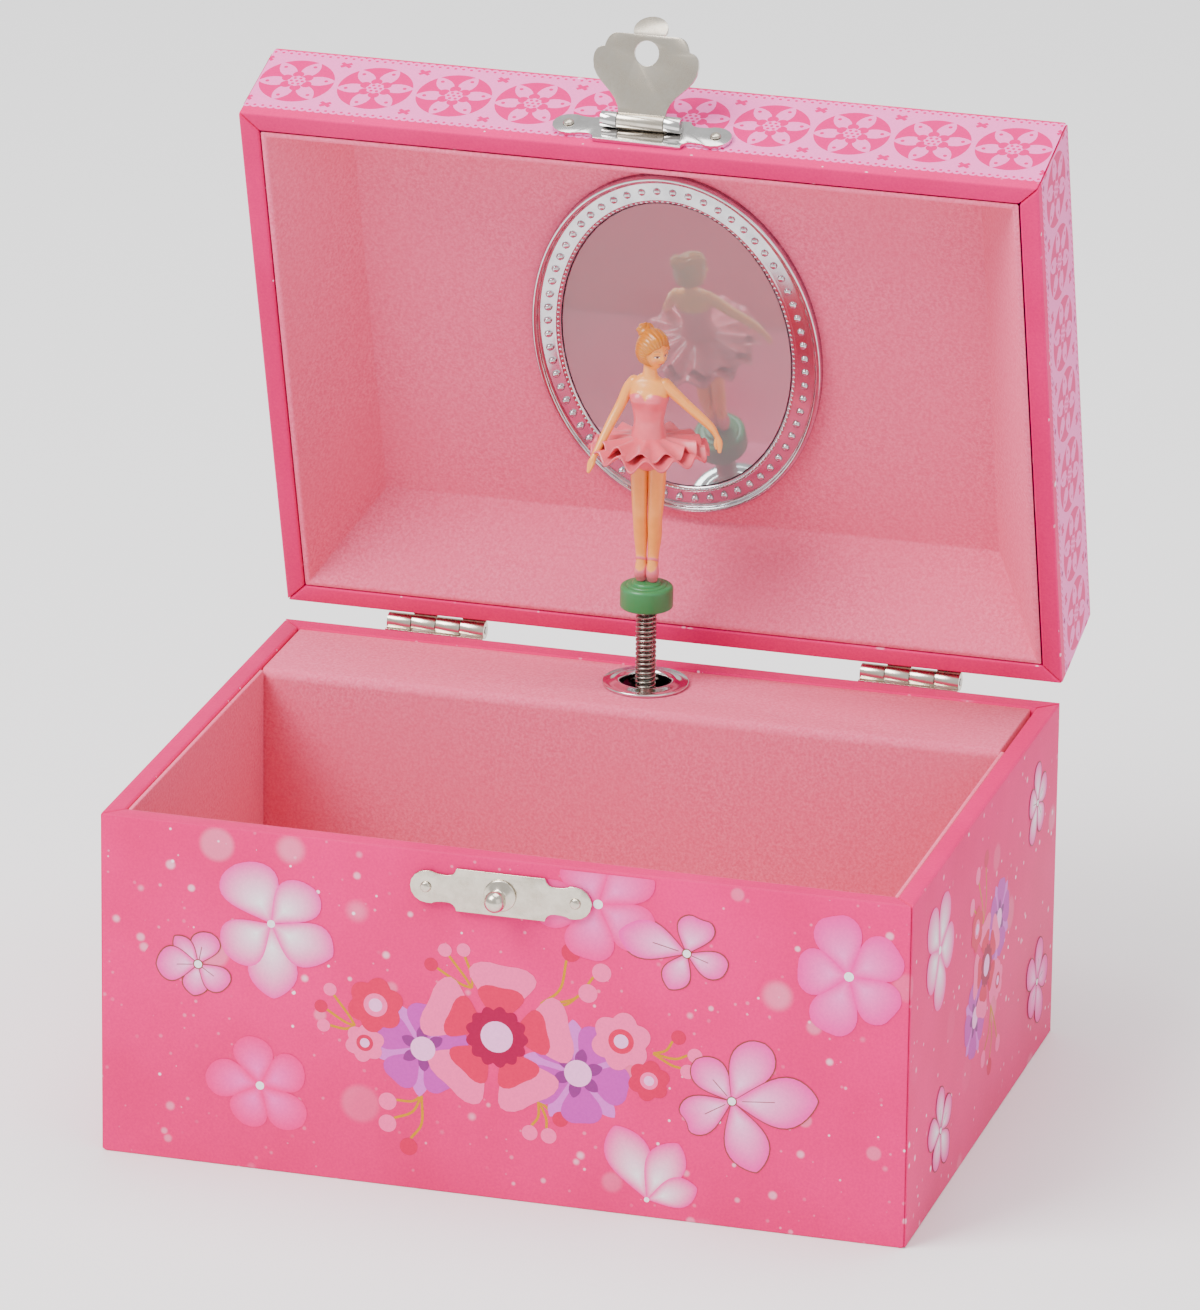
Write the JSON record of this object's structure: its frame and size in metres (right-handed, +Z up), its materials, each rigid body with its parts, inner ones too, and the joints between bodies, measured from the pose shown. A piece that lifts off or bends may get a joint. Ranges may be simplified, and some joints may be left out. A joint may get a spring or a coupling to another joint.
{
  "type": "wind up music box",
  "caption": "Musical jewellery box with hinged mirror lid, open front compartment, wind-up movement and a small dancer turning on a coil spring.",
  "frame": {"origin": "centre of the box's flat underside", "axes": "+X to the right seen from the front, +Y to the back where the lid is hinged, +Z up; the lid stands open at rest"},
  "size_m": [0.152, 0.1397, 0.1968],
  "materials": {
    "printed_paper_board": "satin printed paper over board",
    "lace_paper_board": "satin printed paper over board",
    "flocked_card": "flocked card",
    "nickel_plate": "polished nickel plate",
    "chrome_eyelet": "polished",
    "silvered_plastic": "vacuum-metallised plastic",
    "mirror_glass": "silvered",
    "steel": "bright steel",
    "green_plastic": "semi-gloss",
    "painted_vinyl": "painted, semi-gloss",
    "nylon": "moulded",
    "brass": "machined",
    "cast_zinc": "die cast"
  },
  "bodies": {
    "case": {"case_front_panel": "printed_paper_board", "case_back_panel": "printed_paper_board", "case_left_panel": "printed_paper_board", "case_right_panel": "printed_paper_board", "case_bottom_panel": "printed_paper_board", "floor_lining": "flocked_card", "front_lining": "flocked_card", "left_lining": "flocked_card", "right_lining": "flocked_card", "platform_cover": "flocked_card", "spring_eyelet": "chrome_eyelet", "catch_plate": "nickel_plate", "catch_knob": "nickel_plate", "catch_nail_left": "nickel_plate", "catch_nail_right": "nickel_plate", "hinge_left_case_leaf": "nickel_plate", "hinge_right_case_leaf": "nickel_plate", "hinge_left_pin": "steel", "hinge_right_pin": "steel", "movement_bedplate": "cast_zinc", "spring_case": "cast_zinc", "mainspring": "steel", "comb": "steel", "comb_screw_1": "steel", "comb_screw_2": "steel", "governor_frame": "cast_zinc", "mounting_screw_1": "steel", "mounting_screw_2": "steel", "mounting_screw_3": "steel"},
    "lid": {"lid_front_panel": "lace_paper_board", "lid_back_panel": "lace_paper_board", "lid_left_panel": "lace_paper_board", "lid_right_panel": "lace_paper_board", "lid_top_panel": "printed_paper_board", "lid_lining": "flocked_card", "mirror_frame": "silvered_plastic", "mirror": "mirror_glass", "hasp_plate": "nickel_plate", "hasp_pin": "steel", "hasp_nail_left": "nickel_plate", "hasp_nail_right": "nickel_plate", "hinge_left_lid_leaf": "nickel_plate", "hinge_right_lid_leaf": "nickel_plate"},
    "hasp": {"hasp_flap": "nickel_plate"},
    "figure_spring": {"coil_spring": "steel"},
    "figure": {"figure_base": "green_plastic", "dancer": "painted_vinyl"},
    "cylinder": {"music_cylinder": "brass", "cylinder_arbor": "brass", "spring_holder": "nylon"},
    "winder": {"winding_arbor": "steel", "great_wheel": "brass", "winding_key": "nickel_plate"},
    "governor": {"governor_wheel": "nylon"},
    "fan": {"worm_fan": "nylon"}
  },
  "joints": [
    {"name": "lid_hinge", "type": "hinge", "parent": "case", "child": "lid", "pos_m": [0, 0.0576, 0.067], "axis": [1, 0, 0], "range_deg": [0, 74]},
    {"name": "hasp_hinge", "type": "hinge", "parent": "lid", "child": "hasp", "pos_m": [0, 0.03067, 0.17907], "axis": [1, 0, 0], "range_deg": [0, 121]},
    {"name": "figure_tilt", "type": "hinge", "parent": "case", "child": "figure_spring", "pos_m": [-0.001, 0.0423, 0.073], "axis": [1, 0, 0], "range_deg": [0, 97], "deforming": ["coil_spring"]},
    {"name": "figure_spin", "type": "hinge", "parent": "figure_spring", "child": "figure", "pos_m": [-0.001, 0.0423, 0.0812], "axis": [0, 0, 1], "continuous": true},
    {"name": "cylinder_spin", "type": "hinge", "parent": "case", "child": "cylinder", "pos_m": [-0.001, 0.0423, 0.0298], "axis": [0, 0, 1], "continuous": true},
    {"name": "key_spin", "type": "hinge", "parent": "case", "child": "winder", "pos_m": [-0.001, 0.05, 0.0178], "axis": [0, 1, 0], "continuous": true},
    {"name": "governor_spin", "type": "hinge", "parent": "case", "child": "governor", "pos_m": [0.00688, 0.03775, 0.0298], "axis": [0, 0, 1], "continuous": true},
    {"name": "fan_spin", "type": "hinge", "parent": "case", "child": "fan", "pos_m": [0.01183, 0.03775, 0.0298], "axis": [0, 1, 0], "continuous": true}
  ],
  "couplings": [
    {"joint": "figure_tilt", "follows": "lid_hinge", "ratio": 1.3108},
    {"joint": "figure_spin", "follows": "cylinder_spin", "ratio": 1},
    {"joint": "key_spin", "follows": "cylinder_spin", "ratio": -0.33333},
    {"joint": "governor_spin", "follows": "cylinder_spin", "ratio": -3},
    {"joint": "fan_spin", "follows": "cylinder_spin", "ratio": 48}
  ]
}
